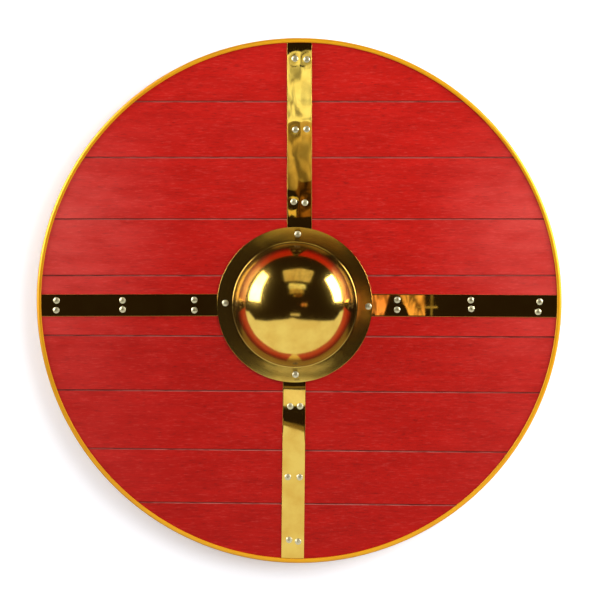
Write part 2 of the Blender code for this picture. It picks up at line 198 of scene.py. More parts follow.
def painted_planks(name, colours, tone, wood_tone, shift):
    """Planed pine with a brushed coat of satin red paint on its face: short pores show through it along
    the grain, with pale ridges between them, and a painted sheen lies on it in patches towards the ends of
    the planks, most between the side straps and the top. Its up-facing bevels carry a painted highlight
    where rubbed and its down-facing bevels painted shade; the sides and back are bare."""
    material, tree, shader, place = start_material(name)
    moved = add_node(tree, "Mapping", {"Vector": place, "Location": (shift, shift / 3, 0)})[0]
    noises = []
    for scale, detail, roughness in (
        # Pores 9 mm long and 1.4 mm wide: the real ones are about 0.3 mm wide, too fine to show
        ((115, 720, 300), 3.0, 0.65),
        # Growth bands 70 mm long and 5 mm wide
        ((14, 200, 200), 3.0, 0.5),
        # Patches of thicker and thinner paint, about 45 mm long and 17 mm wide
        ((22, 60, 60), 4.0, 0.5),
        # Rubbed stretches of the edges, 17 mm long
        ((60, 300, 300), 3.0, 0.5),
        # Grain lines of the bare pine, 2.5 mm apart
        ((12, 400, 400), 4.0, 0.5),
    ):
        drawn_out = add_node(tree, "Mapping", {"Vector": moved, "Scale": scale})[0]
        inputs = {"Vector": drawn_out, "Scale": 1.0, "Detail": detail, "Roughness": roughness}
        noises.append(add_node(tree, "TexNoise", inputs)["Fac"])
    pores, bands, patches, stretches, grain = noises
    pore = add_node(tree, "ValToRGB", {"Fac": pores}, [(0.55, grey(0)), (0.7, grey(1))])["Color"]
    ridge = add_node(tree, "ValToRGB", {"Fac": pores}, [(0.32, grey(1)), (0.45, grey(0))])["Color"]
    spot = add_node(tree, "SeparateXYZ", [place])
    normal = add_node(tree, "SeparateXYZ", [add_node(tree, "NewGeometry")["Normal"]])
    # Each effect's source, the range in which it changes, and how strong it is at either end
    share = {}
    for effect, source, start, end, least, most in (
        ("band tint", bands, 0.3, 0.7, 0.92 * tone, 1.06 * tone),
        ("patch tint", patches, 0.3, 0.7, 0.92, 1.06),
        # The painted sheen: in patches, and most between the side straps and the top
        ("sheen_and_ridges", patches, 0.3, 0.7, 0.5, 1.0),
        ("painted sheen above the side straps", spot["Y"], -0.08, 0.08, 0.25, 1.0),
        ("painted sheen below the top", spot["Y"], 0.24, 0.12, 0.0, 1.0),
        ("rubbed", stretches, 0.32, 0.55, 0.0, 1.0),
        # By the way a bevel faces: a painted highlight on the upper ones, painted shade on the lower ones
        ("painted highlight on upper bevels", normal["Y"], 0.3, 0.5, 0.0, 1.0),
        ("painted shade on lower bevels", normal["Y"], -0.3, -0.5, 0.0, 1.0),
        ("roughness", patches, 0.3, 0.7, 0.36, 0.52),
    ):
        share[effect] = add_node(tree, "MapRange", [source, start, end, least, most])["Result"]

    # Painted sheen from 120 mm out, which is also where the edges are less rubbed
    out = add_node(tree, "Math", [spot["X"]], operation="ABSOLUTE")[0]
    ends = add_node(tree, "MapRange", [out, 0.12, 0.30], interpolation_type="SMOOTHSTEP")["Result"]
    # The painted sheen, kept to the ends, plus pale ridges between the pores
    sheen_and_ridges = share["sheen_and_ridges"]
    for factor in (ends, share["painted sheen above the side straps"], share["painted sheen below the top"], 0.42):
        sheen_and_ridges = add_node(tree, "Math", [sheen_and_ridges, factor], operation="MULTIPLY")[0]
    sheen_and_ridges = add_node(tree, "Math", [ridge, 0.13, sheen_and_ridges], operation="MULTIPLY_ADD")[0]
    less = add_node(tree, "MapRange", [ends, 0.0, 1.0, 1.0, 0.1])["Result"]
    rubbed = add_node(tree, "Math", [share["rubbed"], less], operation="MULTIPLY")[0]
    edge = add_node(tree, "Mix", {0: rubbed, 6: colours.dark_paint_and_shade, 7: colours.worn_paint_and_highlight}, data_type="RGBA")[2]

    tint = add_node(tree, "Math", [share["band tint"], share["patch tint"]], operation="MULTIPLY")[0]
    red = add_node(tree, "Mix", {0: 1.0, 6: colours.paint, 7: tint}, data_type="RGBA", blend_type="MULTIPLY")[2]
    depth = add_node(tree, "Math", [pore, 0.66], operation="MULTIPLY")[0]
    # The up-facing bevels carry a painted highlight where rubbed and are dark between, the down-facing ones painted
    # shade
    for cover, paint in (
        (depth, colours.paint_deep), (sheen_and_ridges, colours.pale_paint_and_sheen),
        (share["painted highlight on upper bevels"], edge), (share["painted shade on lower bevels"], colours.dark_paint_and_shade),
    ):
        red = add_node(tree, "Mix", {0: cover, 6: red, 7: paint}, data_type="RGBA")[2]
    bare = add_node(tree, "ValToRGB", {"Fac": grain}, [(0.35, colours.pine), (0.75, colours.pine_dark)])["Color"]
    bare = add_node(tree, "Mix", {0: 1.0, 6: bare, 7: grey(wood_tone)}, data_type="RGBA", blend_type="MULTIPLY")[2]
    painted_above = PLANK_BOX[1].z - 1.0 * MM
    painted = add_node(tree, "Math", [spot["Z"], painted_above], operation="GREATER_THAN")[0]
    seen = add_node(tree, "Mix", {0: painted, 6: bare, 7: red}, data_type="RGBA")[2]
    height = add_node(tree, "Math", [bands, pore], operation="SUBTRACT")[0]
    bump = add_node(tree, "Bump", {"Height": height, "Strength": 0.5, "Distance": 0.12 * MM})[0]
    set_inputs(tree, shader, {
        "Base Color": seen, "Roughness": share["roughness"], "Specular IOR Level": 0.12, "Normal": bump,
    })
    return material


def dried_paint(name, colours):
    """Dull paint with dust in it, pale and dark by turns along a joint."""
    material, tree, shader, place = start_material(name)
    # Stretches 20 mm long
    dust = add_node(tree, "TexNoise", {"Vector": place, "Scale": 50.0, "Detail": 3.0})["Fac"]
    stops = [(0.35, colours.dark_paint_and_shade), (0.55, colours.joint_paint)]
    tint = add_node(tree, "ValToRGB", {"Fac": dust}, stops)["Color"]
    set_inputs(tree, shader, {"Base Color": tint, "Roughness": 0.7, "Specular IOR Level": 0.12})
    return material


def polished_brass(name, colours, spun=False):
    """Rolled and buffed brass sheet: a near mirror, a little duller in soft smears. The straps' sheared
    edges are dull. The boss's flange, spun over a form, keeps fine turning marks and a softer shine, and
    the foot of its dome is rougher and carries a painted reflection, a dull olive ring."""
    material, tree, shader, place = start_material(name)
    # Smears 22 mm across, and buffing marks 0.6 mm apart, coarser than the real ones so that they show
    smears = add_node(tree, "TexNoise", {"Vector": place, "Scale": 45.0, "Detail": 4.0})["Fac"]
    marks = add_node(tree, "TexNoise", {"Vector": place, "Scale": 1600.0, "Detail": 2.0})["Fac"]
    tint = add_node(tree, "ValToRGB", {"Fac": smears}, [(0.35, colours.brass), (0.8, colours.brass_dull)])["Color"]
    rough = add_node(tree, "MapRange", [smears, 0.3, 0.8, 0.012, 0.05])["Result"]
    if spun:
        offset = add_node(tree, "VectorMath", [place, (*BOSS_CENTRE, 0)], operation="SUBTRACT")[0]
        offset = add_node(tree, "VectorMath", [offset, (1, 1, 0)], operation="MULTIPLY")[0]
        radius = add_node(tree, "VectorMath", [offset], operation="LENGTH")["Value"]
        # Where the flange begins, and the inner and outer limits of the dome's foot
        flange, inner, outer = (
            add_node(tree, "MapRange", [radius, start, end])["Result"]
            for start, end in ((0.071, 0.076), (0.0605, 0.0645), (0.0732, 0.0718))
        )
        foot = add_node(tree, "Math", [inner, outer], operation="MULTIPLY")[0]
        rougher = add_node(tree, "MapRange", [flange, 0.0, 1.0, 0.095, 0.15])["Result"]
        rough = add_node(tree, "Math", [rough, rougher], operation="ADD")[0]
        rough = add_node(tree, "Math", [foot, 0.1, rough], operation="MULTIPLY_ADD")[0]
        # Painted reflection: the dome's foot is tinted a dull olive
        tint = add_node(tree, "Mix", {0: foot, 6: tint, 7: colours.brass_foot_reflection}, data_type="RGBA")[2]
        # Turning marks 0.8 mm apart
        inputs = {"W": radius, "Scale": 1250.0, "Detail": 2.0}
        turns = add_node(tree, "TexNoise", inputs, noise_dimensions="1D")["Fac"]
        marks = add_node(tree, "Mix", {0: flange, 2: marks, 3: turns}, data_type="FLOAT")[0]
    else:
        facing = add_node(tree, "SeparateXYZ", [add_node(tree, "NewGeometry")["Normal"]])["Z"]
        sheared = add_node(tree, "MapRange", [facing, 0.98, 0.8])["Result"]
        rough = add_node(tree, "Math", [sheared, 0.45, rough], operation="MULTIPLY_ADD")[0]
    bump = add_node(tree, "Bump", {"Height": marks, "Strength": 0.06, "Distance": 0.02 * MM})[0]
    if spun:
        # The spun dome is uneven by a tenth of a millimetre over 20 mm
        uneven = add_node(tree, "TexNoise", {"Vector": place, "Scale": 45.0, "Detail": 1.0})["Fac"]
        inputs = {"Height": uneven, "Strength": 1.0, "Distance": 0.22 * MM, "Normal": bump}
        bump = add_node(tree, "Bump", inputs)[0]
    set_inputs(tree, shader, {"Base Color": tint, "Metallic": 1.0, "Roughness": rough, "Normal": bump})
    return material


def moulded_trim(name, colours):
    """Extruded plastic with a golden pigment: deep yellow with a half metallic shine, slightly uneven
    along its length."""
    material, tree, shader, place = start_material(name)
    # Stretches 40 mm long, and an orange-peel skin 1.5 mm across
    stretches = add_node(tree, "TexNoise", {"Vector": place, "Scale": 25.0, "Detail": 3.0})["Fac"]
    skin = add_node(tree, "TexNoise", {"Vector": place, "Scale": 650.0, "Detail": 1.0})["Fac"]
    tint = add_node(tree, "ValToRGB", {"Fac": stretches}, [(0.4, colours.trim), (0.75, colours.trim_deep)])["Color"]
    bump = add_node(tree, "Bump", {"Height": skin, "Strength": 0.15, "Distance": 0.05 * MM})[0]
    set_inputs(tree, shader, {"Base Color": tint, "Metallic": 0.45, "Roughness": 0.36, "Normal": bump})
    return material


def satin_aluminium(name, colours):
    """Blind rivets of plain aluminium: a satin shine under a matt film of oxide, with fine marks."""
    material, tree, shader, place = start_material(name)
    # Marks 1.1 mm apart
    marks = add_node(tree, "TexNoise", {"Vector": place, "Scale": 900.0, "Detail": 3.0})["Fac"]
    rough = add_node(tree, "MapRange", [marks, 0.3, 0.7, 0.32, 0.46])["Result"]
    bump = add_node(tree, "Bump", {"Height": marks, "Strength": 0.2, "Distance": 0.03 * MM})[0]
    set_inputs(tree, shader, {"Base Color": colours.aluminium, "Metallic": 0.8, "Roughness": rough, "Normal": bump})
    return material


def oiled_ash(name, colours):
    """Planed and oiled ash: long straight grain along the grip, a low sheen."""
    material, tree, shader, place = start_material(name)
    # Grain lines 2 mm apart and 90 mm long
    lines = add_node(tree, "Mapping", {"Vector": place, "Scale": (480, 11, 480)})[0]
    grain = add_node(tree, "TexNoise", {"Vector": lines, "Scale": 1.0, "Detail": 4.0})["Fac"]
    tint = add_node(tree, "ValToRGB", {"Fac": grain}, [(0.35, colours.grip_wood), (0.72, colours.grip_grain)])["Color"]
    rough = add_node(tree, "MapRange", [grain, 0.3, 0.7, 0.42, 0.6])["Result"]
    bump = add_node(tree, "Bump", {"Height": grain, "Strength": 0.4, "Distance": 0.15 * MM})[0]
    set_inputs(tree, shader, {"Base Color": tint, "Roughness": rough, "Normal": bump})
    return material


def matt_table(name, colours):
    """A matt white sheet, lit a little from within: even, with no pattern that the eye would find. From
    below it is clear, so that the shield's back can be looked at."""
    material, tree, shader, place = start_material(name)
    cloud = add_node(tree, "TexNoise", {"Vector": place, "Scale": 3.0, "Detail": 2.0})["Fac"]
    rough = add_node(tree, "MapRange", [cloud, 0.0, 1.0, 0.8, 0.95])["Result"]
    set_inputs(tree, shader, {
        "Base Color": colours.floor, "Specular IOR Level": 0.1, "Roughness": rough,
        "Emission Color": grey(1.0), "Emission Strength": 0.17,
    })
    below = add_node(tree, "NewGeometry")["Backfacing"]
    clear = add_node(tree, "BsdfTransparent")[0]
    seen = add_node(tree, "MixShader", [below, shader.outputs[0], clear])[0]
    set_inputs(tree, tree.nodes["Material Output"], {"Surface": seen})
    return material


def arc(centre, radius, start, end, steps):
    """Points of an arc in a profile, between two angles in radians."""
    angles = [start + (end - start) * i / steps for i in range(steps + 1)]
    return [(centre[0] + radius * cos(a), centre[1] + radius * sin(a)) for a in angles]


def add_object(name, data):
    """A new object, put in the scene."""
    obj = bpy.data.objects.new(name, data)
    bpy.context.scene.collection.objects.link(obj)
    return obj


def plain_mesh(obj):
    """The mesh that an object's modifiers make. The object itself is removed."""
    mesh = bpy.data.meshes.new_from_object(obj.evaluated_get(bpy.context.evaluated_depsgraph_get()))
    bpy.data.objects.remove(obj)
    return mesh


def new_piece(name, mesh, material):
    """A finished piece at the origin, riding on the shield's one body."""
    mesh.name = name
    mesh.materials.clear()
    mesh.materials.append(material)
    piece = add_object(name, mesh)
    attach(piece, "root")
    return piece


def smooth_mesh(name, bm, sharp_above=40):
    """A mesh from a bmesh with its faces outwards, smooth but for edges sharper than an angle."""
    bmesh.ops.recalc_face_normals(bm, faces=bm.faces)
    mesh = bpy.data.meshes.new(name)
    bm.to_mesh(mesh)
    bm.free()
    mesh.shade_smooth()
    mesh.set_sharp_from_angle(angle=radians(sharp_above))
    return mesh


def turned(profile, steps):
    """A bmesh turned about Z from a closed loop or a line that starts and ends on the axis."""
    bm = bmesh.new()
    verts = [bm.verts.new((radius, 0, height)) for radius, height in profile]
    edges = [bm.edges.new(pair) for pair in zip(verts, verts[1:])]
    bmesh.ops.spin(
        bm, geom=verts + edges, axis=(0, 0, 1), cent=(0, 0, 0), angle=2 * pi, steps=steps, use_merge=True
    )
    bmesh.ops.remove_doubles(bm, verts=bm.verts, dist=0.001 * MM)
    return bm


def loft(rings, bm=None):
    """A closed shape through a row of rings with as many points each, in a new bmesh or a given one."""
    if bm is None:
        bm = bmesh.new()
    rows = [[bm.verts.new(point) for point in ring] for ring in rings]
    for row, following in zip(rows, rows[1:]):
        for i in range(len(row)):
            bm.faces.new((row[i - 1], row[i], following[i], following[i - 1]))
    bm.faces.new(rows[0])
    bm.faces.new(rows[-1])
    return bm


def rivet_spots():
    """Each rivet's (x, y), the height of its top and the height of its tail's end."""
    spots = []
    for name in RIVET_NODES:
        low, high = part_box(name)
        spots.append(((low.x + high.x) / 2, (low.y + high.y) / 2, high.z, low.z))
    return spots


def drilled(mesh, sizes):
    """The mesh with the rivets' holes through it."""
    radius = sizes.shank_radius + sizes.hole_clearance
    past_ends = 10 * MM
    bm = bmesh.new()
    for x, y, top, tail in rivet_spots():
        bmesh.ops.create_cone(
            bm, cap_ends=True, segments=24, radius1=radius, radius2=radius, depth=top - tail + 2 * past_ends,
            matrix=Matrix.Translation((x, y, (top + tail) / 2)),
        )
    cutter = add_object("drill", smooth_mesh("drill", bm))
    body = add_object("body", mesh)
    modifier = body.modifiers.new("drill", "BOOLEAN")
    modifier.object = cutter
    modifier.solver = "EXACT"
    made = plain_mesh(body)
    bpy.data.objects.remove(cutter)
    made.shade_smooth()
    made.set_sharp_from_angle(angle=radians(40))
    return made


def dress_planks(colours):
    """Gives each CAD plank its own paint, a little deeper towards the bottom of the shield, and its own
    shade of pine."""
    planks = sorted((name for name in frame["nodes"] if name.startswith("plank_")), key=lambda n: -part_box(n)[1].y)
    for number, name in enumerate(planks):
        tone = 0.94 - 0.015 * number
        wood_tone = 0.9 + 0.1 * sin(2.4 * number)
        node = frame["nodes"][name]
        if not node.data.materials:
            node.data.materials.append(None)
        paint = painted_planks(f"{name}_red_paint", colours, tone, wood_tone, 0.37 * number)
        node.material_slots[0].material = paint


def build_joints(sizes, colours):
    """The dried paint between the planks: a bar along the upper side of each plank, from where the bevels
    end down."""
    top = PLANK_BOX[1].z - sizes.joint_sink
    low = top - 1.5 * MM
    overlap, width = 0.02 * MM, sizes.joint_width
    section = ((-overlap, top), (width, top), (width, low), (-overlap, low))
    least_length = 30 * MM
    joints = {}
    for name in frame["nodes"]:
        if name.startswith("plank_"):
            mesh = frame["nodes"][name].data
            for face in mesh.polygons:
                row = sorted(tuple(mesh.vertices[i].co.xy) for i in face.vertices)
                if face.normal.y > 0.99 and row[-1][0] - row[0][0] > least_length:
                    joints[name, round(row[0][0], 3)] = (row[0], row[-1])
    bm = bmesh.new()
    for ends in joints.values():
        loft([[(x, y + side, level) for side, level in section] for x, y in ends], bm)
    mesh = smooth_mesh("joints", bm, 30)
    new_piece("paint_in_joints", mesh, dried_paint("dried_red_paint", colours))


def start_tree(name, inputs, output):
    """A geometry tree with its named inputs, given as (name, kind), and their sockets in it."""
    tree = bpy.data.node_groups.new(name, "GeometryNodeTree")
    for socket, kind in inputs:
        tree.interface.new_socket(socket, in_out="INPUT", socket_type=f"NodeSocket{kind}")
    tree.interface.new_socket(output, in_out="OUTPUT", socket_type="NodeSocketGeometry")
    return tree, add_node(tree, "NodeGroupInput")


def ring_tree():
    """Geometry nodes that sweep a profile round a ring and let it wander a little."""
    tree, given = start_tree("swept_ring", (
        ("Profile", "Geometry"), ("Radius", "Float"), ("Segments", "Int"), ("Wave", "Float"),
        ("Wave Length", "Float"), ("Seed", "Float"), ("Material", "Material"),
    ), "Ring")
    line = add_node(tree, "GeometryNodeMeshToCurve", {"Mesh": given["Profile"]})[0]
    inputs = {"Resolution": given["Segments"], "Radius": given["Radius"]}
    circle = add_node(tree, "GeometryNodeCurvePrimitiveCircle", inputs)[0]
    swept = add_node(tree, "GeometryNodeCurveToMesh", {"Curve": circle, "Profile Curve": line})[0]
    place = add_node(tree, "GeometryNodeInputPosition")[0]
    finer = add_node(tree, "Math", [1.0, given["Wave Length"]], operation="DIVIDE")[0]
    inputs = {"Vector": place, "W": given["Seed"], "Scale": finer, "Detail": 1.0}
    rough = add_node(tree, "TexNoise", inputs, noise_dimensions="4D")["Fac"]
    dent = add_node(tree, "Math", [rough, given["Wave"]], operation="MULTIPLY")[0]
    inwards = add_node(tree, "VectorMath", [place, (-1.0, -1.0, 0.0)], operation="MULTIPLY")[0]
    inwards = add_node(tree, "VectorMath", [inwards], operation="NORMALIZE")[0]
    push = add_node(tree, "VectorMath", {0: inwards, "Scale": dent}, operation="SCALE")[0]
    moved = add_node(tree, "GeometryNodeSetPosition", {"Geometry": swept, "Offset": push})[0]
    real = add_node(tree, "GeometryNodeRealizeInstances", {"Geometry": moved})[0]
    done = add_node(tree, "GeometryNodeSetMaterial", {"Geometry": real, "Material": given["Material"]})[0]
    add_node(tree, "NodeGroupOutput", {"Ring": done})
    return tree


def run_tree(mesh, tree, values):
    """The plain mesh that a geometry tree makes of a mesh, with its named inputs set."""
    carrier = add_object("carrier", mesh)
    modifier = carrier.modifiers.new("tree", "NODES")
    modifier.node_group = tree
    for item in tree.interface.items_tree:
        if item.in_out == "INPUT" and item.name in values:
            modifier[item.identifier] = values[item.name]
    return plain_mesh(carrier)


def trim_profile(sizes):
    """The U channel's section, as (distance out from the shield's radius, height)."""
    low, high = TRIM_BOX[0].z, TRIM_BOX[1].z
    corner, wall, lip = sizes.trim_corner, sizes.trim_wall, -sizes.trim_lip
    inner = corner - wall
    bead = wall / 2
    outside = arc((-corner, high - corner), corner, pi / 2, 0, 8) + arc((-corner, low + corner), corner, 0, -pi / 2, 8)
    lower = arc((lip + bead, low + bead), bead, -pi / 2, -3 * pi / 2, 6)
    inside = arc((-corner, low + corner), inner, -pi / 2, 0, 5) + arc((-corner, high - corner), inner, 0, pi / 2, 5)
    upper = arc((lip + bead, high - bead), bead, -pi / 2, -3 * pi / 2, 6)
    return outside + lower + inside + upper


def nick_places():
    """The trim's small nicks, from the photo to (x, y) on the ring."""
    scale = SHIELD_RADIUS / PHOTO_DISC_RADIUS
    found = []
    for across, down in PHOTO_NICKS:
        way = Vector((across - PHOTO_DISC_CENTRE[0], PHOTO_DISC_CENTRE[1] - down)) * scale
        found.append(way.normalized() * (SHIELD_RADIUS - 3 * MM))
    return found


def build_trim(sizes, colours):
    """The golden channel round the planks' edge, with its small nicks."""
    points = [(x, -z, 0) for x, z in trim_profile(sizes)]
    count = len(points)
    line = bpy.data.meshes.new("trim_profile")
    line.from_pydata(points, [(i, (i + 1) % count) for i in range(count)], [])
    plastic = moulded_trim("golden_trim_plastic", colours)
    mesh = run_tree(line, ring_tree(), {
        "Radius": SHIELD_RADIUS, "Segments": sizes.trim_segments, "Wave": sizes.trim_wave,
        "Wave Length": 0.05, "Seed": 4.0, "Material": plastic,
    })
    bm = bmesh.new()
    bm.from_mesh(mesh)
    bmesh.ops.remove_doubles(bm, verts=bm.verts, dist=0.001 * MM)
    nick_radius, nick_depth, face_level = 6 * MM, 0.5 * MM, TRIM_BOX[1].z - 3 * MM
    for nick in nick_places():
        for vert in bm.verts:
            away = (vert.co.xy - nick).length
            if away < nick_radius and vert.co.z > face_level:
                vert.co.z -= nick_depth * (cos(pi * away / nick_radius) + 1) / 2
    piece = new_piece("golden_edge_trim", smooth_mesh("golden_edge_trim", bm), plastic)
    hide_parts("edge_trim")


def boss_line(sizes, inset, fillet_steps, dome_steps):
    """Points from the flange's inner edge up to the top of the dome, set in by a thickness."""
    front = BOSS_BOX[0].z + sizes.sheet
    rise = BOSS_BOX[1].z - front
    sphere = (sizes.dome_radius**2 + rise**2) / (2 * rise)
    middle = BOSS_BOX[1].z - sphere
    height = front + sizes.dome_fillet
    radius = sqrt((sphere + sizes.dome_fillet) ** 2 - (height - middle) ** 2)
    turn = atan2(height - middle, radius)
    line = arc((radius, height), sizes.dome_fillet + inset, -pi / 2, turn - pi, fillet_steps)
    line += arc((0, middle), sphere - inset, turn, pi / 2, dome_steps)[1:-1]
    return line + [(0, middle + sphere - inset)]


def build_boss(sizes, colours):
    """The spun dome with its flange, hollow behind, with the flange's rim softly rounded."""
    low = BOSS_BOX[0].z
    front = low + sizes.sheet
    edge = sizes.flange_edge
    outside = boss_line(sizes, 0, 10, 44)
    inside = boss_line(sizes, sizes.sheet, 8, 36)
    rim = arc((FLANGE_RADIUS - edge, front - edge), edge, pi / 2, 0, 4)
    rim += arc((FLANGE_RADIUS - edge, low + edge), edge, 0, -pi / 2, 4)
    bm = turned(outside[::-1] + rim + inside, sizes.boss_segments)
    bmesh.ops.translate(bm, verts=bm.verts, vec=(*BOSS_CENTRE, 0))
    mesh = drilled(smooth_mesh("boss", bm), sizes)
    piece = new_piece("brass_boss", mesh, polished_brass("boss_spun_brass", colours, spun=True))
    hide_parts("boss")


def strip_corners(node, angle):
    """A strap's four corners (x, y): inner left and right, outer left and right, seen along the strap."""
    out = Vector((cos(radians(angle)), sin(radians(angle))))
    left = Vector((-out.y, out.x))
    points = [v.co.xy for v in frame["nodes"][node].data.vertices]
    return [
        max(points, key=lambda p, a=a, b=b: a * p.dot(out) + b * p.dot(left))
        for a, b in ((-1, 1), (-1, -1), (1, 1), (1, -1))
    ]


def strap_rise(sizes, spot, rivets, dip, wave):
    """How far a strap stands up at a place: flat at its rivets and under the flange, fuller between."""
    near = min((spot - rivet).length for rivet in rivets)
    bulge = dip * (1 - exp(-((near / sizes.strap_dip) ** 2)))
    long_wave = noise.noise((spot.x * 30, spot.y * 24, 0.7))
    short_wave = noise.noise((spot.x * 75, spot.y * 60, 5.2))
    past_flange = (spot - BOSS_CENTRE).length - FLANGE_RADIUS
    free = min(max(past_flange / (6 * MM), 0.0), 1.0)
    return (bulge + wave * (1.5 + long_wave + 0.3 * short_wave)) * free


def build_straps(sizes, colours):
    """Strips of brass sheet pulled down by their rivets, with rounded long edges and curved outer ends."""
    bottom, top = STRAP_BOX[0].z, STRAP_BOX[1].z
    edge = sizes.strap_edge
    across_steps, under_steps, along_steps = 26, 8, 150
    turn = arc((0, 0), 1, pi / 2, 0, 5)[1:]
    for side, angle in SIDES.items():
        node = f"strap_{side}"
        inner_left, inner_right, outer_left, outer_right = strip_corners(node, angle)
        rivets = [Vector(spot[:2]) for spot, name in zip(rivet_spots(), RIVET_NODES) if f"_{side}" in name]
        end = (outer_left.length + outer_right.length) / 2
        half = (inner_left - inner_right).length / 2
        # Once round the section, as (share of the half width, height)
        section = [(edge / half + (2 - 2 * edge / half) * i / across_steps - 1, top) for i in range(across_steps + 1)]
        section += [(1 + (x - 1) * edge / half, top + (z - 1) * edge) for x, z in turn]
        section += [(1 - 2 * i / under_steps, bottom) for i in range(under_steps + 1)]
        section += [(-1 - (x - 1) * edge / half, top + (z - 1) * edge) for x, z in turn[::-1]]
        bent = side == "top"
        dip = sizes.top_strap_bulge if bent else sizes.strap_bulge
        wave = sizes.top_strap_wave if bent else sizes.strap_wave
        rings = []
        for step in range(along_steps + 1):
            ring = []
            for share, level in section:
                inner = inner_right.lerp(inner_left, (1 - share) / 2)
                outer = outer_right.lerp(outer_left, (1 - share) / 2)
                spot = inner.lerp(outer.normalized() * end, step / along_steps)
                ring.append((*spot, level + strap_rise(sizes, spot, rivets, dip, wave)))
            rings.append(ring)
        mesh = drilled(smooth_mesh(node, loft(rings)), sizes)
        piece = new_piece(f"brass_{node}", mesh, polished_brass(f"{node}_brass", colours))
        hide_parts(node)


def rivet_profile(sizes):
    """A blind rivet's section: from the dimple in its head round to its shank, and from there to the tip
    of its tail."""
    head, rise, core = sizes.head_radius, sizes.head_height, sizes.core_radius
    sphere = (head**2 + rise**2) / (2 * rise)
    lip = sqrt(sphere**2 - core**2) - sphere + rise
    start = atan2(sphere - rise, head)
    pin, pit, rim, under = lip - 0.55 * MM, lip - 0.85 * MM, lip - 0.2 * MM, -0.1 * MM
    upper = [(0, pin), (core * 0.55, pin), (core * 0.65, pit), (core * 0.8, pit), (core * 0.92, rim)]
    upper += arc((0, rise - sphere), sphere, atan2(lip - rise + sphere, core), start, 7)
    upper += [(head - 0.15 * MM, under), (sizes.shank_radius, under)]
    tail, bulb = sizes.tail_radius, sizes.tail_height
    lower = [(sizes.shank_radius, 0), (tail * 0.8, -0.1 * bulb), (tail, -0.35 * bulb)]
    lower += [(tail * 0.85, -0.75 * bulb), (tail * 0.45, -0.97 * bulb), (0, -bulb)]
    return upper, lower


def rivet_tree():
    """Geometry nodes that set a rivet on each point, turned at random, its tail let down to the point's
    own depth."""
    tree, given = start_tree("set_rivets", (
        ("Points", "Geometry"), ("Rivet", "Object"), ("Tilt", "Float"), ("Seed", "Int"), ("Material", "Material"),
    ), "Rivets")
    body = add_node(tree, "GeometryNodeObjectInfo", {"Object": given["Rivet"]})["Geometry"]
    tilt = add_node(tree, "Math", [given["Tilt"], -1.0], operation="MULTIPLY")[0]
    least = add_node(tree, "CombineXYZ", {"X": tilt, "Y": tilt, "Z": 0.0})[0]
    most = add_node(tree, "CombineXYZ", {"X": given["Tilt"], "Y": given["Tilt"], "Z": 2 * pi})[0]
    inputs = {0: least, 1: most, "Seed": given["Seed"]}
    turn = add_node(tree, "FunctionNodeRandomValue", inputs, data_type="FLOAT_VECTOR")[0]
    turn = add_node(tree, "FunctionNodeEulerToRotation", [turn])[0]
    inputs = {"Points": given["Points"], "Instance": body, "Rotation": turn}
    placed = add_node(tree, "GeometryNodeInstanceOnPoints", inputs)[0]
    real = add_node(tree, "GeometryNodeRealizeInstances", {"Geometry": placed})[0]
    drop, below = (
        add_node(tree, "GeometryNodeInputNamedAttribute", {"Name": name}, data_type="FLOAT")[0]
        for name in ("drop", "below")
    )
    drop = add_node(tree, "Math", [drop, below], operation="MULTIPLY")[0]
    down = add_node(tree, "CombineXYZ", {"Z": drop})[0]
    moved = add_node(tree, "GeometryNodeSetPosition", {"Geometry": real, "Offset": down})[0]
    done = add_node(tree, "GeometryNodeSetMaterial", {"Geometry": moved, "Material": given["Material"]})[0]
    add_node(tree, "NodeGroupOutput", {"Rivets": done})
    return tree


def build_rivets(sizes, colours):
    """All the blind rivets, one closed body each."""
    upper, lower = rivet_profile(sizes)
    bm = turned(upper + lower, 28)
    below = bm.verts.layers.float.new("below")
    # What goes down with the tail: the shank's lower end, at the level of the head's rim, and the bulb
    for vert in bm.verts:
        shank_end = abs(vert.co.z) < 0.05 * MM and vert.co.xy.length < sizes.tail_radius
        vert[below] = float(shank_end or vert.co.z < -0.11 * MM)
    sample = add_object("rivet_sample", smooth_mesh("rivet_sample", bm, 60))
    spots = rivet_spots()
    points = bpy.data.meshes.new("rivet_points")
    points.from_pydata([(x, y, top - sizes.head_height) for x, y, top, tail in spots], [], [])
    drop = points.attributes.new("drop", "FLOAT", "POINT")
    drop.data.foreach_set("value", [tail + sizes.tail_height - (top - sizes.head_height) for x, y, top, tail in spots])
    metal = satin_aluminium("satin_aluminium", colours)
    mesh = run_tree(points, rivet_tree(), {"Rivet": sample, "Tilt": radians(0.8), "Seed": 7, "Material": metal})
    bpy.data.objects.remove(sample)
    for name in ("drop", "below"):
        mesh.attributes.remove(mesh.attributes[name])
    piece = new_piece("blind_rivets", mesh, metal)
    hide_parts(*RIVET_NODES)


def smooth_step(value, low, high):
    share = min(max((value - low) / (high - low), 0.0), 1.0)
    return share * share * (3 - 2 * share)


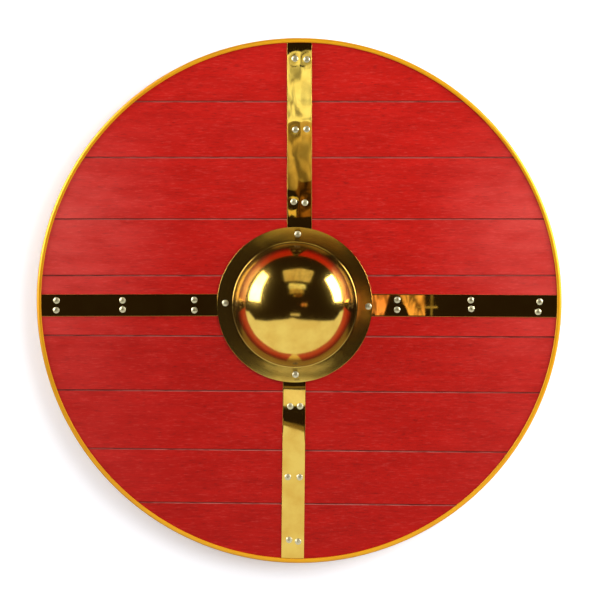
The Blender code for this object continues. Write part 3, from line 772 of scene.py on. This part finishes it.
def build_grip(sizes, colours):
    """The bar across the hand hole: full and rounded in the hand, thin where it is riveted."""
    spots = dict(zip(RIVET_NODES, rivet_spots()))
    rows = {}
    for side in ("top", "bottom"):
        pair = [Vector(spots[f"rivet_{side}_middle_{number}"][:2]) for number in (1, 2)]
        rows[side] = (pair[0] + pair[1]) / 2
    line = (rows["top"] - rows["bottom"]).normalized()
    across = Vector((line.y, -line.x))
    hand = Vector(frame["record"]["mounts"][0]["pos_m"][:2])
    lengths = [(v.co.xy - hand).dot(line) for v in frame["nodes"]["grip"].data.vertices]
    first, last = min(lengths), max(lengths)
    front = GRIP_BOX[1].z
    thin_back = front - sizes.grip_thin
    # Distances from the middle of the hand part
    narrow, rounded, thick, slope_end, end_width_from = 30 * MM, 42 * MM, 62 * MM, 76.2 * MM, 206.2 * MM
    edge_rounding, hand_rounding = 1.5 * MM, 6 * MM
    steps = 180
    rings = []
    for step in range(steps + 1):
        along = first + (last - first) * step / steps
        out = abs(along)
        tip = (last if along > 0 else -first) - out
        width = sizes.grip_hand_width + (sizes.grip_width - sizes.grip_hand_width) * smooth_step(out, narrow, thick)
        width += (sizes.grip_end_width - sizes.grip_width) * smooth_step(out, slope_end, end_width_from)
        width *= sqrt(max(1 - max(1 - tip / sizes.grip_tip, 0.0) ** 2 * 0.6, 0.05))
        back = thin_back * smooth_step(out, thick - 1 * MM, slope_end)
        corner = edge_rounding + (hand_rounding - edge_rounding) * (1 - smooth_step(out, rounded, thick))
        ring = []
        for number, (side, level) in enumerate(((1, 1), (-1, 1), (-1, -1), (1, -1))):
            centre = (side * (width / 2 - corner), (front + back) / 2 + level * ((front - back) / 2 - corner))
            start = number * pi / 2
            for x, z in arc(centre, corner, start, start + pi / 2, 6):
                ring.append((*(hand + line * along + across * x), z))
        rings.append(ring)
    mesh = drilled(smooth_mesh("grip", loft(rings)), sizes)
    piece = new_piece("ash_grip", mesh, oiled_ash("grip_ash", colours))
    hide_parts("grip")


def soft_box(name, place, target, width, height, radiance, **seen_by):
    """A soft light of an even brightness, which the camera doesn't see."""
    light = bpy.data.lights.new(name, "AREA")
    light.shape = "RECTANGLE"
    light.size, light.size_y = width, height
    light.energy = radiance * pi * width * height
    lamp = add_object(name, light)
    lamp.location = place
    lamp.rotation_mode = "QUATERNION"
    lamp.rotation_quaternion = (Vector(target) - Vector(place)).to_track_quat("-Z", "Y")
    for ray, seen in {"camera": False, **seen_by}.items():
        setattr(lamp, f"visible_{ray}", seen)


def glowing(name, radiance, tint, mottle=0.0, scale=(38, 16, 16)):
    """An even glow. Mottle is how much of it comes and goes in patches, as on creased foil."""
    material, tree, shader, place = start_material(name)
    tree.nodes.remove(shader)
    drawn_out = add_node(tree, "Mapping", {"Vector": place, "Scale": scale})[0]
    inputs = {"Vector": drawn_out, "Scale": 1.0, "Detail": 3.0, "Distortion": 0.8}
    patches = add_node(tree, "TexNoise", inputs)["Fac"]
    dim = radiance * (1 - mottle)
    bright = add_node(tree, "MapRange", [patches, 0.4, 0.56, dim, radiance])["Result"]
    glow = add_node(tree, "Emission", {"Color": linear(tint), "Strength": bright})[0]
    set_inputs(tree, tree.nodes["Material Output"], {"Surface": glow})
    return material


def only_mirrored(obj):
    """Makes a piece of the stage show only in what is polished."""
    for ray in ("camera", "diffuse", "transmission", "shadow", "volume_scatter"):
        setattr(obj, f"visible_{ray}", False)


def card(name, upper, lower, *glow):
    """A bright sheet between an upper and a lower row of corners."""
    half = len(upper)
    mesh = bpy.data.meshes.new(name)
    mesh.from_pydata(upper + lower, [], [(i, i + 1, half + i + 1, half + i) for i in range(half - 1)])
    mesh.materials.append(glowing(name, *glow))
    only_mirrored(add_object(name, mesh))


def level_card(name, height, upper, lower, *glow):
    """A level card at a height, between two rows of (x, y)."""
    card(name, *([(*corner, height) for corner in row] for row in (upper, lower)), *glow)


def flat_card(name, height, x, y, *glow):
    """A level card at a height, between two x and two y."""
    level_card(name, height, [(x[0], y[1]), (x[1], y[1])], [(x[0], y[0]), (x[1], y[0])], *glow)


def build_floor(colours):
    """The table top, just under the shield, which throws no shadow and isn't mirrored."""
    half_side, gap = 6.0, 0.2 * MM
    bm = bmesh.new()
    bmesh.ops.create_grid(bm, x_segments=1, y_segments=1, size=half_side)
    bmesh.ops.translate(bm, verts=bm.verts, vec=(0, 0, -gap))
    mesh = bpy.data.meshes.new("table_top")
    bm.to_mesh(mesh)
    bm.free()
    mesh.materials.append(matt_table("matt_white_table", colours))
    floor = add_object("table_top", mesh)
    floor.visible_glossy = False
    floor.visible_shadow = False


def build_world():
    """A white room for light, and a dim brown one that only what is polished mirrors."""
    world = bpy.data.worlds.new("studio")
    bpy.context.scene.world = world
    world.use_nodes = True
    tree = world.node_tree
    tree.nodes.clear()
    ray = add_node(tree, "LightPath")
    seen, fill = (
        add_node(tree, "Background", {"Color": grey(1.0), "Strength": strength})[0] for strength in (1.0, 0.52)
    )
    mixed = add_node(tree, "MixShader", [ray["Is Camera Ray"], fill, seen])[0]
    add_node(tree, "OutputWorld", {"Surface": mixed})
    # Sampled as a light, the world would shine on the polished brass too
    world.cycles.sampling_method = "NONE"
    bm = bmesh.new()
    bmesh.ops.create_icosphere(bm, subdivisions=3, radius=6.0)
    room = add_object("dim_room", smooth_mesh("dim_room", bm))
    room.data.materials.append(glowing("dim_room_walls", 0.035, "C8A88C"))
    only_mirrored(room)


def build_lights():
    """A broad light overhead and one from below, two windows at table height, a bright sheet round the
    lower edge for the dome and the bottom strap, and level cards beside the camera for the other straps."""
    soft_box("overhead_light", (1.8, 0.6, 1.8), (0, 0, 0), 2.0, 2.0, 4.3, glossy=False)
    left_window = ((-1.2, 0.69, 0.37), (0, 0.69, 0.37), 1.17, 0.56)
    soft_box("left_window", *left_window, 7.0)
    soft_box("left_window_glare", *left_window, 17.0, diffuse=False)
    soft_box("right_window", (1.11, 0.44, 0.22), (0, 0, 0.22), 0.76, 0.40, 14.0)
    soft_box("light_from_below", (0, 0, -1.5), (0, 0, 0), 2.0, 2.0, 1.2, glossy=False)
    card(
        "lower_sheet",
        [(-1.25, -0.2, 0.10), (-0.92, -0.36, 0.24), (-0.28, -0.235, 0.43), (-0.026, -0.166, 0.42),
         (0.016, -0.18, 0.42), (0.28, -0.235, 0.43), (0.92, -0.36, 0.24), (1.25, -0.2, 0.10)],
        [(-1.6, -0.2, -0.1), (-1.3, -0.5, -0.12), (-0.6, -0.75, -0.12), (-0.2, -0.75, -0.12),
         (0.2, -0.75, -0.12), (0.6, -0.75, -0.12), (1.3, -0.5, -0.12), (1.6, -0.2, -0.1)],
        0.95, "F8FDFF",
    )
    card(
        "high_card", [(-0.19, 0.52, 0.31), (0.29, 0.50, 0.25)], [(-0.17, 0.375, 0.47), (0.24, 0.375, 0.47)],
        0.8, "FFF4D8", 0.4,
    )
    warm = "FFE8B0"
    level_card(
        "lower_sheet_edge", 0.42, [(-0.06, -0.158), (-0.026, -0.161), (0.016, -0.172), (0.06, -0.18)],
        [(-0.06, -0.17), (-0.026, -0.167), (0.016, -0.181), (0.06, -0.19)], 0.25, warm,
    )
    flat_card("lower_patch", 0.45, (-0.06, 0.06), (-0.143, -0.121), 0.98, "FFFFFF")
    flat_card("lower_near_patch", 0.45, (-0.06, 0.06), (-0.118, -0.108), 0.22, warm, 0.3, (60, 25, 25))
    # What hides a part of another card hangs a little lower than it
    high, lower, lowest = 0.5, 0.499, 0.498
    flat_card("upper_card", high, (-0.10, 0.17), (0.238, 0.338), 1.4, "F6FFF4", 0.7, (48, 24, 16))
    level_card(
        "upper_mid_card", lower, [(-0.08, 0.238), (-0.0235, 0.238), (-0.007, 0.238), (0.003, 0.238), (0.13, 0.238)],
        [(-0.08, 0.152), (-0.0235, 0.157), (-0.009, 0.152), (0.0, 0.165), (0.13, 0.168)],
        0.75, warm, 0.75, (48, 16, 16),
    )
    flat_card("upper_near_card", high, (-0.008, 0.10), (0.114, 0.165), 0.34, "FFB060", 0.9, (48, 16, 16))
    level_card(
        "upper_small_card", lowest, [(-0.022, 0.138), (-0.017, 0.13), (-0.009, 0.136)],
        [(-0.02, 0.117), (-0.016, 0.121), (-0.006, 0.115)], 0.95, "FFE8A0",
    )
    level_card(
        "upper_dark_strip", lowest, [(-0.0075, 0.3335), (-0.002, 0.3305), (0.006, 0.3305), (0.0115, 0.3335)],
        [(-0.0065, 0.3305), (-0.002, 0.327), (0.006, 0.327), (0.0105, 0.3305)], 0.0, "FFFFFF",
    )
    level_card(
        "right_near_card", high, [(0.092, 0.014), (0.129, 0.014)], [(0.095, -0.026), (0.114, -0.026)],
        1.35, "FFB088", 0.7, (110, 40, 40),
    )
    level_card(
        "right_card", high, [(0.132, 0.014), (0.173, 0.014)], [(0.154, -0.026), (0.173, -0.026)],
        1.25, "FFC48C", 0.8, (110, 40, 40),
    )
    flat_card("right_far_card", high, (0.181, 0.184), (-0.04, 0.04), 0.25, warm)
    flat_card("right_line_card", high, (0.16, 0.19), (-0.010, -0.008), 0.6, warm)


def build_camera(sizes):
    """Straight above, so that the disc falls on its place in the photo."""
    scale = SHIELD_RADIUS / PHOTO_DISC_RADIUS
    half_photo = PHOTO_SIZE / 2
    across, down = PHOTO_DISC_CENTRE
    level = (TRIM_BOX[0].z + TRIM_BOX[1].z) / 2
    data = bpy.data.cameras.new("camera")
    data.sensor_width = 36.0
    data.lens = data.sensor_width / 2 * sizes.camera_distance / (half_photo * scale)
    data.clip_start, data.clip_end = 0.01, 50.0
    camera = add_object("camera", data)
    camera.location = ((half_photo - across) * scale, (down - half_photo) * scale, level + sizes.camera_distance)
    bpy.context.scene.camera = camera


def chosen(context):
    """The sizes and the colours that are set in the scene."""
    return context.scene.shield_sizes, context.scene.shield_colours


class SHIELD_OT_planks(bpy.types.Operator):
    """Paints the planks and fills their joints"""

    bl_idname = "shield.planks"
    bl_label = "Planks"
    bl_options = {"REGISTER", "UNDO"}

    def execute(self, context):
        sizes, colours = chosen(context)
        dress_planks(colours)
        build_joints(sizes, colours)
        return {"FINISHED"}


class SHIELD_OT_trim(bpy.types.Operator):
    """Makes the golden edge trim"""

    bl_idname = "shield.trim"
    bl_label = "Edge trim"
    bl_options = {"REGISTER", "UNDO"}

    def execute(self, context):
        build_trim(*chosen(context))
        return {"FINISHED"}


class SHIELD_OT_boss(bpy.types.Operator):
    """Makes the brass boss"""

    bl_idname = "shield.boss"
    bl_label = "Boss"
    bl_options = {"REGISTER", "UNDO"}

    def execute(self, context):
        build_boss(*chosen(context))
        return {"FINISHED"}


class SHIELD_OT_straps(bpy.types.Operator):
    """Makes the four brass straps"""

    bl_idname = "shield.straps"
    bl_label = "Straps"
    bl_options = {"REGISTER", "UNDO"}

    def execute(self, context):
        build_straps(*chosen(context))
        return {"FINISHED"}


class SHIELD_OT_rivets(bpy.types.Operator):
    """Sets the rivets"""

    bl_idname = "shield.rivets"
    bl_label = "Rivets"
    bl_options = {"REGISTER", "UNDO"}

    def execute(self, context):
        build_rivets(*chosen(context))
        return {"FINISHED"}


class SHIELD_OT_grip(bpy.types.Operator):
    """Makes the wooden grip"""

    bl_idname = "shield.grip"
    bl_label = "Grip"
    bl_options = {"REGISTER", "UNDO"}

    def execute(self, context):
        build_grip(*chosen(context))
        return {"FINISHED"}


class SHIELD_OT_stage(bpy.types.Operator):
    """Sets up the table top, the lights and the camera"""

    bl_idname = "shield.stage"
    bl_label = "Stage"
    bl_options = {"REGISTER", "UNDO"}

    def execute(self, context):
        sizes, colours = chosen(context)
        context.scene.view_settings.view_transform = "Standard"
        build_floor(colours)
        build_world()
        build_lights()
        build_camera(sizes)
        return {"FINISHED"}


OPERATORS = (
    SHIELD_OT_planks, SHIELD_OT_trim, SHIELD_OT_boss, SHIELD_OT_straps, SHIELD_OT_rivets, SHIELD_OT_grip,
    SHIELD_OT_stage,
)


class SHIELD_PT_panel(bpy.types.Panel):
    """Sizes, colours and operators of the shield"""

    bl_label = "Shield"
    bl_idname = "SHIELD_PT_panel"
    bl_space_type = "VIEW_3D"
    bl_region_type = "UI"
    bl_category = "Shield"

    def draw(self, context):
        for operator in OPERATORS:
            self.layout.operator(operator.bl_idname)
        for group in chosen(context):
            box = self.layout.box()
            for name in group.__annotations__:
                box.prop(group, name)


CLASSES = (ShieldSizes, ShieldColours, *OPERATORS, SHIELD_PT_panel)


def register():
    for made in CLASSES:
        bpy.utils.register_class(made)
    bpy.types.Scene.shield_sizes = PointerProperty(type=ShieldSizes)
    bpy.types.Scene.shield_colours = PointerProperty(type=ShieldColours)


def unregister():
    del bpy.types.Scene.shield_colours
    del bpy.types.Scene.shield_sizes
    for made in reversed(CLASSES):
        bpy.utils.unregister_class(made)


def main():
    register()
    bpy.ops.shield.planks()
    bpy.ops.shield.trim()
    bpy.ops.shield.boss()
    bpy.ops.shield.straps()
    bpy.ops.shield.rivets()
    bpy.ops.shield.grip()
    bpy.ops.shield.stage()


if __name__ == "__main__":
    main()
